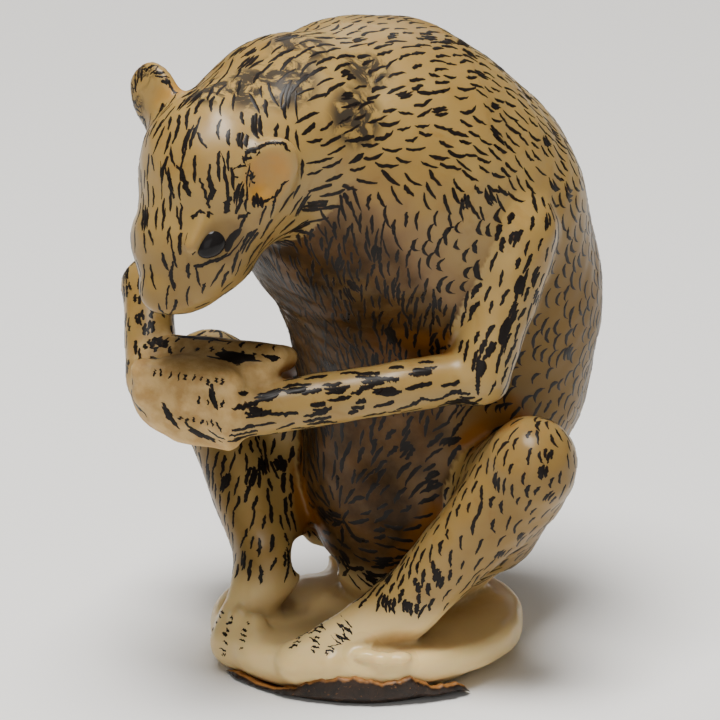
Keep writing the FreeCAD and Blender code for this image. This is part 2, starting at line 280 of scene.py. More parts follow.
# Directions on the left cheek: towards the ear, up the face and out of it.
CHEEK_BACK = unit(np.array([0.71, 0.71, 0.0]))
CHEEK_UP = unit(np.array([-0.24, 0.24, 0.94]))
CHEEK_OUT = np.cross(CHEEK_BACK, CHEEK_UP)
# The middle of the curl of the back, as Y and Z.
CURL = np.array([-8.0, 35.0])
# Where the neck's fur ends and the face's begins, along Y.
FACE_EDGE = -14.5


def eye_axes(side):
    """The directions out of an eye, towards the nose and up over the brow."""
    ahead = unit(np.array(NOSE) - np.array(CROWN))
    out = EYE[side] - np.array(CROWN)
    out = unit(out - ahead * float(out @ ahead))
    brow = np.cross(out, ahead)
    return out, ahead, brow if brow[2] > 0 else -brow


def eyelid(side):
    out, ahead, brow = eye_axes(side)
    return Limb(EYE[side] + 1.75 * brow - 1.3 * ahead, EYE[side] + 1.6 * brow + 1.2 * ahead, 0.7, 0.55)


def facing(turn):
    """The direction that the flat face of an ear with this turn looks in: its own -Y."""
    return -Egg((0, 0, 0), (1, 1, 1), turn).axes[1]


def ear(side):
    centre = np.array(EAR[side])
    hollow = centre + EAR_FRONT[side] * facing(EAR_TURN[side])
    return Egg(centre, EAR_SIZE[side], EAR_TURN[side]), Egg(hollow, (1.6, 1.1, 2.2), EAR_TURN[side])


def fingers():
    """Two clasped hands: four left fingers around the front, three right ones on top."""
    across = np.array([-0.866, -0.5, 0.0])
    bulge = np.array([0.8, -0.6, 0.0])
    knuckle = np.array([2.0, -19.4, 0.0])
    rows = []
    left = ((30.7, 0.5, 7.6), (28.8, 0.8, 7.4), (26.9, 0.5, 6.1), (25.4, -0.1, 4.2))
    for height, forward, length in left:
        root = knuckle + bulge * forward + np.array([0, 0, height])
        tip = root + across * length + np.array([0, 0, 0.35])
        rows.append(Limb(root, tip, 1.2, 1.1))
    right = ((0.0, 31.2, 9.6), (2.0, 31.8, 9.0), (3.9, 31.4, 8.0))
    for back, height, length in right:
        root = np.array([-5.6, -21.0, height]) + back * np.array([0.35, 0.94, 0])
        rows.append(Limb(root, root + np.array([0.84, 0.54, -0.02]) * length, 1.25, 1.2))
    return rows


def field(shapes, points):
    """Distance from points, an (n, 3) array in millimetres, to the nearest of some shapes."""
    x, y, z = points.T
    return np.min([shape.distance(x, y, z) for shape, blend in shapes], axis=0)


def figure_shapes():
    """Every shape of the figure, with the width of its fillet, by region."""
    shapes = {
        "trunk": [
            (Egg(HIPS, (11.3, 10.7, 12.0)), 1.0),
            (Limb((0.2, 5.2, 12.5), (0.2, 4.4, 9.2), 7.4, 7.0), 1.6),
            (Limb(WAIST, FLANK, 13.0, 13.6), 2.0),
            (Limb(FLANK, CHEST, 13.6, 14.1), 2.0),
            (Limb(CHEST, WITHERS, 14.1, 13.5), 2.0),
            (Limb(WITHERS, HUMP, 13.5, 12.9), 2.0),
            (Limb(HUMP, NAPE, 12.9, 8.2), 2.5),
        ],
        "head": [
            (Limb(NAPE, CROWN, 8.4, 7.3), 1.2),
            (Limb(CROWN, BROW, 7.2, 5.5), 0.6),
            (Limb(BROW, NOSE, 5.0, 2.2), 1.2),
            (Limb(CROWN, CHIN, 5.3, 3.3), 1.0),
            (eyelid("left"), 0.7),
            (ear("left")[0], 1.1),
            (ear("right")[0], 1.6),
        ],
        "left_arm": [
            (Limb(SHOULDER["left"], ELBOW["left"], 3.4, 2.7), 1.4),
            (Limb(ELBOW["left"], WRIST["left"], 2.3, 2.2), 0.8),
        ],
        "right_arm": [
            (Limb(SHOULDER["right"], ELBOW["right"], 3.6, 2.1), 1.6),
            (Limb(ELBOW["right"], WRIST["right"], 2.1, 2.3), 0.8),
        ],
        "hands": [
            (Egg((-1.2, -20.8, 28.6), (5.2, 2.0, 3.9), (0, 0, 30)), 0.8),
            (Egg((-0.8, -17.6, 30.7), (5.2, 2.6, 1.9), (0, 0, 33)), 0.8),
        ] + [(finger, 0.7) for finger in fingers()] + [
            (Egg((-3.0, -21.3, 28.4), (2.5, 1.7, 3.1), (0, 0, 30)), 0.8),
        ],
        "left_leg": [
            (Limb(HIP["left"], KNEE["left"], 5.3, 4.1), 1.2),
            (Limb(KNEE["left"], ANKLE["left"], 3.8, 2.6), 0.8),
            (Limb(CALF["left"], ANKLE["left"], 4.0, 2.4), 0.8),
            (Limb(ANKLE["left"], TOES["left"], 2.5, 1.7), 1.5),
            (Limb((8.4, -4.2, 6.6), (7.0, -11.4, 3.7), 1.1, 0.6), 0.4),
        ] + [(Limb(root, tip, 1.0, 0.85), 0.35) for root, tip in TOE["left"]],
        "right_leg": [
            (Limb(HIP["right"], KNEE["right"], 6.2, 4.1), 1.2),
            (Limb((-8.4, 4.4, 10.1), (-11.2, 1.6, 11.0), 4.0, 3.6), 1.2),
            (Limb(KNEE["right"], ANKLE["right"], 3.8, 2.6), 0.8),
            (Limb(CALF["right"], ANKLE["right"], 4.6, 2.4), 0.8),
            (Limb(ANKLE["right"], TOES["right"], 2.5, 2.1), 1.5),
        ] + [(Limb(root, tip, 1.0, 0.85), 0.35) for root, tip in TOE["right"]],
        "base": [
            (Slab((-0.9, -0.8), 12.7, 0.0, 3.6, 1.7), 1.0),
            (Slab((0.15, -0.15), 13.6, 1.4, 4.2, 1.1), 1.4),
        ] + [(Egg(place, (1.1, 0.9, 0.5), (0, 0, 40)), 0.3) for place in WET_LUMPS],
    }
    return shapes


def smoothstep(low, high, value):
    t = np.clip((value - low) / (high - low), 0, 1)
    return t * t * (3 - 2 * t)


def carved_unevenness(x, y, z):
    """The slow waves that a knife and a polishing cloth leave, in millimetres."""
    wave = np.sin(0.61 * x + 0.9) * np.sin(0.53 * y + 2.1) * np.sin(0.47 * z + 0.4)
    ripple = np.sin(1.13 * x + 1.7 * z) * np.sin(1.31 * y - 0.6 * z + 1.2)
    return 0.14 * wave + 0.05 * ripple


def make_flesh():
    low = [v / MM - GRID_MARGIN for v in cad_box[0]]
    high = [v / MM + GRID_MARGIN for v in cad_box[1]]
    block = Block(low, high, GRID_STEP)
    for shapes in REGIONS.values():
        for shape, blend in shapes:
            block.add(shape, blend)
    for side in EAR:
        block.carve(ear(side)[1], 0.9)
    for gap in GAPS:
        block.carve(gap, 0.6)
    x, y, z = np.meshgrid(
        *[(block.low[i] + block.step * np.arange(block.count[i])).astype(np.float32) for i in range(3)],
        indexing="ij",
        sparse=True,
    )
    block.values += carved_unevenness(x, y, z) * smoothstep(0.5, 3.0, z)
    flesh = bpy.data.objects.new("carved_flesh", block.mesh("carved_flesh"))
    bpy.context.scene.collection.objects.link(flesh)
    paint_flesh(flesh, block)
    return flesh


def vertex_arrays(mesh):
    places = np.empty(len(mesh.vertices) * 3)
    mesh.vertices.foreach_get("co", places)
    normals = np.empty(len(mesh.vertices) * 3)
    mesh.vertex_normals.foreach_get("vector", normals)
    return places.reshape(-1, 3) / MM, normals.reshape(-1, 3)


def set_attribute(mesh, name, values):
    attribute = mesh.attributes.new(name, "FLOAT", "POINT")
    attribute.data.foreach_set("value", values.astype(np.float32))


def front_stain_and_shade(points, normals):
    """How far a point of the trunk is on the chest and belly, with their brown staining and painted shade,
    from 0 to 1.
    """
    ahead = smoothstep(-0.08, 0.45, normals @ FRONT)
    return ahead * smoothstep(53, 43, points[:, 2]) * smoothstep(3.5, 9, points[:, 2])


def paint_flesh(flesh, block):
    """Stores where the flesh has brown staining, creases, pale ivory and smudges, and where painted shade
    and painted light fall, for its material.
    """
    points, normals = vertex_arrays(flesh.data)
    nearest = region_of(points)
    on = {name: nearest == i for i, name in enumerate(names)}
    # Painted shade: how enclosed each point is, sampled outward like ambient occlusion, for darkening
    # creases and hollows.
    crease = np.zeros(len(points))
    for reach in (0.9, 2.0, 3.4):
        crease += np.clip(1 - block.at(points + normals * reach) / reach, 0, 1) / 3
    # Brown staining on the chest and belly, made darker as painted shade where they face down; painted shade
    # only on the far leg; a grey ink wash by the left eye.
    stain_and_shade = front_stain_and_shade(points, normals)
    stain_and_shade = stain_and_shade * np.select([on["trunk"], on["right_leg"]], [1, 0.45], 0)
    around_eye = EYE["left"] + 1.1 * CHEEK_BACK + 0.2 * CHEEK_UP
    stain_and_shade = np.maximum(stain_and_shade, 0.5 * smoothstep(2.6, 1.5, np.linalg.norm(points - around_eye, axis=1)))
    hands = smoothstep(1.6, 0.2, field(REGIONS["hands"], points))
    nape = np.max([
        smoothstep(1.3 * size, 0.7 * size, np.linalg.norm(points - np.array(place), axis=1))
        for place, size in SMUDGES
    ], axis=0)
    hollow = np.min([field([(ear(side)[1], 0)], points) for side in EAR], axis=0)
    hollow = np.minimum(hollow, np.linalg.norm(points - np.array(EAR_ROOT), axis=1) - 1.3)
    # Pale cream on the base and below the ankles: paler ivory, lifted further as painted light where the
    # body's shadow falls on the base.
    pale_feet = 0.8 * smoothstep(9.5, 6, points[:, 2])
    base = np.maximum(smoothstep(1.2, 0.1, field(REGIONS["base"], points)), pale_feet)
    # Warm brown on the front of the trunk below the neck and on its front side: brown staining with painted
    # shade under the head.
    warm = smoothstep(-0.4, 0.25, normals @ FRONT) * smoothstep(57, 47, points[:, 2])
    sideways = (np.abs(points[:, 0]) + points[:, 1]) * 0.707
    warm = np.maximum(warm, 0.85 * smoothstep(11, -2, sideways) * smoothstep(50, 43, points[:, 2]))
    warm = warm * on["trunk"]
    set_attribute(flesh.data, "warm", warm)
    # Painted shade: darker towards the lower right of the trunk and on the near leg, and on the lower face,
    # where it also stands for smudged grey ink.
    shade_and_smudge = smoothstep(4, 13, (points[:, 0] + points[:, 1]) * 0.707) * smoothstep(46, 34, points[:, 2])
    shade_and_smudge = shade_and_smudge * np.select([on["trunk"], on["left_leg"]], [1, 0.6], 0)
    on_face = 0.5 * smoothstep(52, 42, points[:, 2]) * on["head"]
    shade_and_smudge = np.maximum(shade_and_smudge, on_face)
    set_attribute(flesh.data, "stain_and_shade", stain_and_shade)
    set_attribute(flesh.data, "shade_and_smudge", shade_and_smudge)
    set_attribute(flesh.data, "crease", crease)
    set_attribute(flesh.data, "hands", hands)
    set_attribute(flesh.data, "smudge", nape)
    set_attribute(flesh.data, "base", base)
    set_attribute(flesh.data, "ear", smoothstep(0.9, 0.1, hollow))
    wet = np.min([np.linalg.norm(points - np.array(place), axis=1) for place in WET_LUMPS], axis=0)
    set_attribute(flesh.data, "wet", smoothstep(2.4, 1.2, wet))


def region_of(points):
    """The number of the region that each point lies on."""
    return np.argmin([field(shapes, points) for shapes in REGIONS.values()], axis=0)


# ---------------------------------------------------------------- drawn fur

class Pen:
    """Draws raised strokes and blots of ink on a surface."""

    LIFT = 0.035
    SINK = 0.012

    def __init__(self, surface, seed):
        self.tree = BVHTree.FromPolygons(
            [v.co / MM for v in surface.data.vertices], [p.vertices[:] for p in surface.data.polygons]
        )
        self.random = np.random.RandomState(seed)
        self.points = []
        self.faces = []
        self.film = []

    def press(self, place, lift):
        """Puts a point on the surface, raised by lift."""
        found, normal = self.tree.find_nearest(Vector(place))[:2]
        self.points.append(found + normal * lift)

    def stroke(self, place, along, side, length, width, bend, wobble=0.12):
        """A tapered stroke centred on place, bent through bend radians towards side."""
        steps = 7 if length < 2.6 else 11
        turn = max(abs(bend), 1e-3)
        radius = length / turn
        first = len(self.points)
        sway = self.random.uniform(-1, 1, steps) * wobble
        rough = 1 + self.random.uniform(-0.28, 0.28, (steps, 2))
        blunt = self.random.uniform(0.35, 0.9)
        for i in range(steps):
            u = 2 * i / (steps - 1) - 1
            angle = u * turn / 2
            middle_line = place + along * radius * math.sin(angle)
            lean = radius * (math.cos(turn / 4) - math.cos(angle)) * (1 if bend > 0 else -1)
            middle_line = middle_line + side * (lean + sway[i] * width)
            half = width / 2 * (1 - abs(u) ** 3 * blunt) * (1 - 0.2 * u)
            self.press(middle_line - side * half * rough[i, 0], -self.SINK)
            self.press(middle_line, self.LIFT)
            self.press(middle_line + side * half * rough[i, 1], -self.SINK)
            self.film += [0, 1, 0]
        for i in range(steps - 1):
            a = first + 3 * i
            self.faces += [(a, a + 1, a + 4, a + 3), (a + 1, a + 2, a + 5, a + 4)]

    def blot(self, place, along, side, length, width, ragged=0.3):
        """An irregular blot, longest along its first direction."""
        count = 18
        first = len(self.points)
        turns = np.arange(count) * 2 * math.pi
        waves = sum(
            self.random.uniform(-1, 1) * np.sin(k * turns / count + self.random.uniform(0, 6.3)) / k
            for k in range(2, 7)
        )
        self.press(place, self.LIFT)
        self.film.append(1)
        for ring, height, film in ((0.62, self.LIFT, 1), (1.0, -self.SINK, 0)):
            for i in range(count):
                angle = 2 * math.pi * i / count
                reach = ring * (1 + ragged * waves[i] * ring)
                offset = along * math.cos(angle) * length / 2 + side * math.sin(angle) * width / 2
                self.press(place + offset * reach, height)
                self.film.append(film)
        inner = first + 1
        outer = inner + count
        for i in range(count):
            j = (i + 1) % count
            self.faces.append((first, inner + i, inner + j))
            self.faces.append((inner + i, outer + i, outer + j, inner + j))

    def finish(self, name):
        mesh = bpy.data.meshes.new(name)
        mesh.from_pydata([Vector(p) * MM for p in self.points], [], self.faces)
        mesh.shade_smooth()
        set_attribute(mesh, "film", np.array(self.film, float))
        piece = bpy.data.objects.new(name, mesh)
        bpy.context.scene.collection.objects.link(piece)
        return piece


def scatter(surface, count, seed):
    """Points spread evenly over a surface, with its normals, in millimetres."""
    random = np.random.RandomState(seed)
    mesh = surface.data
    places, normals = vertex_arrays(mesh)
    quads = np.array([p.vertices[:] for p in mesh.polygons])
    corners = places[quads]
    area = np.linalg.norm(np.cross(corners[:, 2] - corners[:, 0], corners[:, 3] - corners[:, 1]), axis=1)
    chosen = random.choice(len(quads), count, p=area / area.sum())
    u, v = random.uniform(size=(2, count, 1))
    weights = [(1 - u) * (1 - v), u * (1 - v), u * v, (1 - u) * v]
    spots = sum(w * places[quads[chosen, i]] for i, w in enumerate(weights))
    facing_out = sum(w * normals[quads[chosen, i]] for i, w in enumerate(weights))
    return spots, unit(facing_out)


def flow(spots, normals, region):
    """The direction of the fur at each spot, along the surface."""
    curl = spots[:, 1:] - CURL
    reach = np.linalg.norm(curl, axis=1)
    outer = smoothstep(9, 17, reach)
    tangent = np.stack([np.zeros(len(spots)), curl[:, 1], -curl[:, 0]], axis=1) / reach[:, None]
    down = np.array([0, 0, -1.0])
    cheek = np.where(spots[:, 0] > -5, 0.35, -0.35)
    face = np.stack([cheek, np.full(len(spots), -0.35), np.full(len(spots), -1.0)], axis=1)
    ways = {
        "trunk": tangent * outer[:, None] + down * (1 - outer[:, None]),
        "head": np.where(spots[:, 1:2] < FACE_EDGE, face, unit(np.array(CROWN) - np.array(NAPE))),
        "hands": np.tile([-0.866, -0.5, 0.0], (len(spots), 1)),
        "base": np.tile(down, (len(spots), 1)),
    }
    for side in ("left", "right"):
        upper = unit(np.array(ELBOW[side]) - np.array(SHOULDER[side]))
        lower = unit(np.array(WRIST[side]) - np.array(ELBOW[side]))
        on_lower = field([REGIONS[f"{side}_arm"][1]], spots) < field([REGIONS[f"{side}_arm"][0]], spots)
        ways[f"{side}_arm"] = np.where(on_lower[:, None], lower, upper)
        ways[f"{side}_leg"] = np.tile(unit(np.array([0.0, -0.25, -1.0])), (len(spots), 1))
    chosen = np.choose(region[:, None], [ways[name] for name in names])
    chosen = chosen - normals * np.sum(chosen * normals, axis=1, keepdims=True)
    return unit(chosen)


# Spacing along and across the fur, least and most length, width and bend, and share of blots, all in
# millimetres or radians.
STYLE_COLUMNS = ("along", "across", "length", "width", "bend", "blots")
STYLE_ROWS = {
    "back": (1.4, 0.9, (1.5, 2.5), (0.42, 0.70), (1.5, 3.0), 0.04),
    "shoulder": (1.45, 0.72, (1.2, 2.3), (0.34, 0.60), (0.1, 1.1), 0.08),
    "belly": (1.3, 0.46, (1.3, 2.9), (0.28, 0.54), (0.0, 0.6), 0.06),
    "lower_belly": (1.5, 0.68, (1.2, 2.5), (0.38, 0.72), (0.1, 0.6), 0.12),
    "head": (1.8, 0.78, (1.4, 3.0), (0.30, 0.62), (0.0, 0.7), 0.14),
    "arm": (1.5, 0.8, (1.1, 2.3), (0.38, 0.72), (0.0, 0.6), 0.22),
    "forearm": (1.7, 0.85, (1.2, 2.9), (0.42, 0.86), (0.0, 0.5), 0.3),
    "leg": (1.4, 0.76, (1.0, 1.9), (0.32, 0.56), (0.1, 1.3), 0.08),
    "ankle": (1.15, 0.62, (1.0, 1.9), (0.36, 0.66), (0.0, 0.8), 0.3),
    "far_leg": (1.45, 0.72, (1.2, 2.3), (0.36, 0.66), (0.0, 0.6), 0.14),
    "far_arm": (1.3, 0.8, (0.9, 1.9), (0.45, 0.85), (0.0, 0.8), 0.5),
}
STYLES = {name: dict(zip(STYLE_COLUMNS, row)) for name, row in STYLE_ROWS.items()}


def style_of(spots, normals, region):
    """The drawing style at each spot, or an empty name where nothing is drawn."""
    styles = np.full(len(spots), "", dtype=object)
    on = {name: region == i for i, name in enumerate(names)}
    stain_and_shade = front_stain_and_shade(spots, normals)
    trunk = on["trunk"]
    styles[trunk] = "back"
    styles[trunk & (spots[:, 2] > 44)] = "shoulder"
    styles[trunk & (stain_and_shade > 0.3)] = "belly"
    styles[trunk & (spots[:, 2] < 24) & (normals[:, 1] < 0.2)] = "lower_belly"
    styles[on["head"]] = "head"
    styles[on["left_arm"]] = "arm"
    styles[on["right_arm"]] = "far_arm"
    styles[on["left_arm"] & (spots[:, 1] < 1.5) & (spots[:, 2] < 32)] = "forearm"
    styles[on["left_leg"]] = "leg"
    styles[on["left_leg"] & (spots[:, 2] < 13) & (normals[:, 2] > -0.2)] = "ankle"
    styles[on["right_leg"]] = "far_leg"
    styles[(on["left_leg"] | on["right_leg"]) & (spots[:, 2] < 8.2)] = ""
    styles[spots[:, 2] < 6.5] = ""
    for side in EAR:
        inside = field([(ear(side)[0], 0)], spots) < 0.5
        styles[inside] = ""
    for side in EYE:
        styles[np.linalg.norm(spots - EYE[side], axis=1) < 2.4] = ""
    styles[np.linalg.norm(spots - EYE["left"] - 3.6 * CHEEK_UP, axis=1) < 2.8] = ""
    return styles


def crowded(place, along, side, style, nearby):
    """Whether a stroke at place would come too close to one of the places already taken nearby."""
    for other in nearby:
        gap = other - place
        if (float(gap @ along) / style["along"]) ** 2 + (float(gap @ side) / style["across"]) ** 2 < 1:
            return True
    return False


def neighbours(taken, key):
    """The places taken in the cells of a grid around one of them."""
    for dx, dy, dz in itertools.product((-1, 0, 1), repeat=3):
        yield from taken.get((key[0] + dx, key[1] + dy, key[2] + dz), ())


def draw_fur(flesh):
    """Draws strokes all over the flesh, each clear of those before it, and returns the pen."""
    spots, normals = scatter(flesh, FUR_SPOTS, seed=11)
    region = region_of(spots)
    ways = flow(spots, normals, region)
    sides = np.cross(normals, ways)
    styles = style_of(spots, normals, region)
    count = len(spots)
    forward = np.stack([-0.6 * np.sign(spots[:, 0]), np.full(count, -0.6), np.full(count, -0.5)], axis=1)
    sides = sides * np.where(np.sum(sides * forward, axis=1) > 0, -1, 1)[:, None]
    pen = Pen(flesh, seed=5)
    taken = {}
    for i in np.flatnonzero(styles != ""):
        style = STYLES[styles[i]]
        key = tuple(np.floor(spots[i] / FUR_CELL).astype(int))
        if crowded(spots[i], ways[i], sides[i], style, neighbours(taken, key)):
            continue
        taken.setdefault(key, []).append(spots[i])
        lean = pen.random.normal(0, 0.16)
        along = unit(ways[i] * math.cos(lean) + sides[i] * math.sin(lean))
        side = unit(sides[i] * math.cos(lean) - ways[i] * math.sin(lean))
        length = pen.random.uniform(*style["length"])
        width = pen.random.uniform(*style["width"])
        bend = pen.random.uniform(*style["bend"])
        pen.stroke(spots[i], along, side, length, width, bend)
        if pen.random.uniform() < style["blots"]:
            for reach in (-1, 1):
                shift = along * pen.random.uniform(-0.4, 0.4)
                shift = shift + side * reach * width * pen.random.uniform(0.4, 0.8)
                pen.stroke(spots[i] + shift, along, side, length * 0.8, width * 1.15, bend, 0.1)
    return pen


def lacquer_eye(side):
    """A drop of black lacquer set in the head under its lid."""
    out, ahead, brow = eye_axes(side)
    rows, count = 14, 36
    points = []
    for row in range(rows + 1):
        lift = math.cos(math.pi * row / rows)
        reach = math.sin(math.pi * row / rows)
        for i in range(count):
            angle = 2 * math.pi * i / count
            edge = 1 + 0.05 * math.sin(2 * angle + 0.7) + 0.05 * math.sin(3 * angle)
            flat = ahead * math.cos(angle) * 1.5 + brow * math.sin(angle) * 1.3
            points.append(EYE[side] + flat * reach * edge + out * (lift * 1.0 + EYE_LIFT[side]))
    faces = []
    for row in range(rows):
        for i in range(count):
            a = row * count + i
            b = row * count + (i + 1) % count
            faces.append((a, a + count, b + count, b))
    mesh = bpy.data.meshes.new(f"{side}_lacquer_eye")
    mesh.from_pydata([Vector(p) * MM for p in points], [], faces)
    work = bmesh.new()
    work.from_mesh(mesh)
    bmesh.ops.remove_doubles(work, verts=work.verts, dist=0.001 * MM)
    bmesh.ops.recalc_face_normals(work, faces=work.faces)
    work.to_mesh(mesh)
    work.free()
    mesh.shade_smooth()
    piece = bpy.data.objects.new(f"{side}_lacquer_eye", mesh)
    bpy.context.scene.collection.objects.link(piece)
    return piece


def tick_row(pen, root, tip, out, radius, spacing, length, width):
    """Short strokes across a finger or a toe, in a row along it."""
    root, tip, out = np.array(root), np.array(tip), unit(np.array(out))
    along = unit(tip - root)
    across = unit(np.cross(along, out))
    distance = 0.3 * spacing
    while distance < np.linalg.norm(tip - root):
        place = root + along * distance + out * radius
        tilt = pen.random.normal(0, 0.4)
        place = place + across * pen.random.normal(0, 0.1)
        long = length * pen.random.uniform(0.6, 1.5)
        wide = width * pen.random.uniform(0.7, 1.6)
        pen.stroke(place, unit(across + along * tilt), unit(along - across * tilt), long, wide, 0.4, 0.3)
        distance += spacing * pen.random.uniform(0.75, 1.25)


def draw_ticks(pen):
    """Rows of short marks on the fingers and the toes."""
    for number, finger in enumerate(fingers()):
        if number < 4:
            last = finger.start + (finger.end - finger.start) * (0.9, 0.35, 0.8, 0.5)[number]
            tick_row(pen, finger.start, last, (0.45, -0.85, 0.35), 1.2, 0.7, 0.62, 0.30)
        elif number < 6:
            tick_row(pen, finger.start, finger.end, (0.2, -0.3, 0.9), 1.2, 1.3, 0.8, 0.34)
    for root, tip in TOE["left"]:
        tick_row(pen, root, tip, (0.0, -0.3, 0.9), 1.0, 0.4, 0.85, 0.26)
    for root, tip in TOE["right"]:
        tick_row(pen, root, tip, (-0.1, -0.9, 0.4), 1.0, 0.55, 0.65, 0.28)


# Larger blots: place, direction, length and width in millimetres.
BLOTS = (
    ((1.3, -17.9, 32.6), (0.84, 0.54, 0), 3.6, 1.7),
    ((-3.9, -22.4, 31.0), (0, 0, 1), 2.2, 1.1),
    ((3.6, -15.4, 32.4), (0.84, 0.54, 0), 1.6, 0.6),
    ((-3.0, -17.7, 33.0), (0.84, 0.54, 0), 4.0, 0.7),
    ((-5.8, -23.6, 31.4), (0.3, 0.0, -1), 2.4, 1.0),
    ((-4.6, -24.0, 28.4), (0.6, 0.35, -0.5), 2.6, 0.7),
    ((-1.4, -23.0, 27.6), (0.5, 0.3, -0.8), 2.2, 0.6),
    ((0.8, -21.9, 26.0), (0.7, 0.4, -0.6), 2.4, 0.7),
    ((1.9, -21.0, 29.6), (0.3, 0.2, -1), 1.8, 0.6),
    ((9.9, -2.6, 8.6), (0.3, -0.4, 1), 2.0, 1.6),
    ((8.9, -1.6, 10.8), (0.1, 0.3, 1), 2.2, 0.9),
    ((15.6, 0.8, 33.6), (0.0, -0.4, -1), 2.8, 1.1),
    ((15.8, 2.4, 37.5), (0.0, -0.4, -1), 2.6, 0.9),
    ((15.2, -1.6, 30.6), (0.0, -0.4, -1), 1.9, 1.1),
    ((12.0, -5.6, 30.6), (0.55, 0.83, 0), 2.0, 0.8),
    ((6.0, -15.0, 29.5), (0.55, 0.83, 0), 2.0, 0.9),
    ((4.4, -18.5, 28.3), (0.55, 0.83, 0), 1.6, 0.8),
    ((14.2, -1.8, 27.4), (0.55, 0.83, 0), 1.6, 0.8),
)


# Marks around the left eye: offset towards the back of the cheek and up, direction, length and width.
EYE_MARKS = (
    (-0.6, -1.9, 0.95, 0.3, 2.7, 0.6), (0.9, -1.6, 0.9, 0.5, 1.6, 0.6), (-1.1, 2.4, 1.0, 0.2, 1.8, 0.8),
    (2.4, 2.4, 1.0, 0.4, 1.2, 0.7), (-0.7, 4.4, -0.25, 1.0, 2.6, 0.4), (0.9, 5.3, -0.12, 1.0, 4.2, 0.42),
    (1.0, 3.5, 0.1, 1.0, 1.6, 0.8), (2.0, 4.6, 0.1, 1.0, 4.0, 0.42), (-2.4, 5.4, -0.4, 1.0, 2.8, 0.8),
    (-2.9, 2.3, 0.1, 1.0, 2.4, 0.36), (-3.9, -0.3, -0.1, 1.0, 2.2, 0.34), (-4.2, -2.7, 0.3, 1.0, 1.8, 0.4),
    (-5.4, 5.4, 0.0, 1.0, 3.6, 0.36), (-2.0, -0.2, -0.1, 1.0, 1.9, 0.36),
    (5.6, 4.5, 0.7, 0.75, 2.2, 0.6), (4.3, 3.5, 1.0, 0.25, 1.2, 0.6), (2.2, -1.0, 0.8, 0.6, 2.4, 0.5),
    (-0.2, 5.0, -0.1, 1.0, 2.0, 0.7), (-4.0, 5.2, -0.4, 1.0, 3.0, 0.6), (-4.9, 2.0, 0.1, 1.0, 2.0, 0.5),
)


def draw_blots(pen):
    """The blots and marks that are listed one by one, and the strokes around the rims of the ears."""
    for place, along, length, width in BLOTS:
        place, along = np.array(place), unit(np.array(along, float))
        found, normal = pen.tree.find_nearest(Vector(place))[:2]
        side = unit(np.cross(np.array(normal), along))
        pen.blot(np.array(found), unit(np.cross(side, np.array(normal))), side, length, width, 0.5)
        for share in (-0.5, 0.1, 0.6):
            shift = along * share * length * 0.7 + side * pen.random.uniform(-0.5, 0.5) * width
            pen.stroke(np.array(found) + shift, along, side, length * 0.6, 0.45, 0.4, 0.15)
    for right, up, run, rise, length, width in EYE_MARKS:
        along = unit(CHEEK_BACK * run + CHEEK_UP * rise)
        across = unit(CHEEK_UP * run - CHEEK_BACK * rise)
        place = EYE["left"] + CHEEK_BACK * (right + 0.3) + CHEEK_UP * up + CHEEK_OUT * 0.5
        pen.stroke(place, along, across, length, width, 0.25, 0.25)
    place = EYE["left"] + CHEEK_BACK * 2.0 + CHEEK_OUT * 0.5
    along = unit(CHEEK_UP * 0.9 + CHEEK_BACK * 0.5)
    across = unit(CHEEK_BACK * 0.9 - CHEEK_UP * 0.5)
    pen.blot(place, along, across, 2.4, 1.3, 0.5)
    for side, first, last in (("left", 75, 222), ("right", 20, 330)):
        shape = ear(side)[0]
        for turn in np.radians(np.arange(first, last, 13)):
            rim = shape.axes[0] * math.cos(turn) * shape.radii[0]
            rim = rim + shape.axes[2] * math.sin(turn) * shape.radii[2]
            place = shape.centre + 0.86 * rim + 0.8 * CHEEK_OUT
            along = rim * pen.random.uniform(-0.2, 1.0)
            along = unit(along + np.cross(rim, CHEEK_OUT) * pen.random.uniform(0.4, 1.0))
            across = unit(np.cross(CHEEK_OUT, along))
            length = pen.random.uniform(0.8, 2.2)
            width = pen.random.uniform(0.3, 0.8)
            pen.stroke(place, along, across, length, width, 0.4, 0.4)


# The top edge of the brown seed coat: direction around the base in degrees, height in millimetres.
COAT_EDGE = (
    (-110, 0.2), (-104, 0.7), (-82, 0.5), (-69, 1.7), (-56, 2.8),
    (-46, 2.3), (-31, 2.4), (-22, 1.6), (-10, 1.0), (-7, 0.2),
)


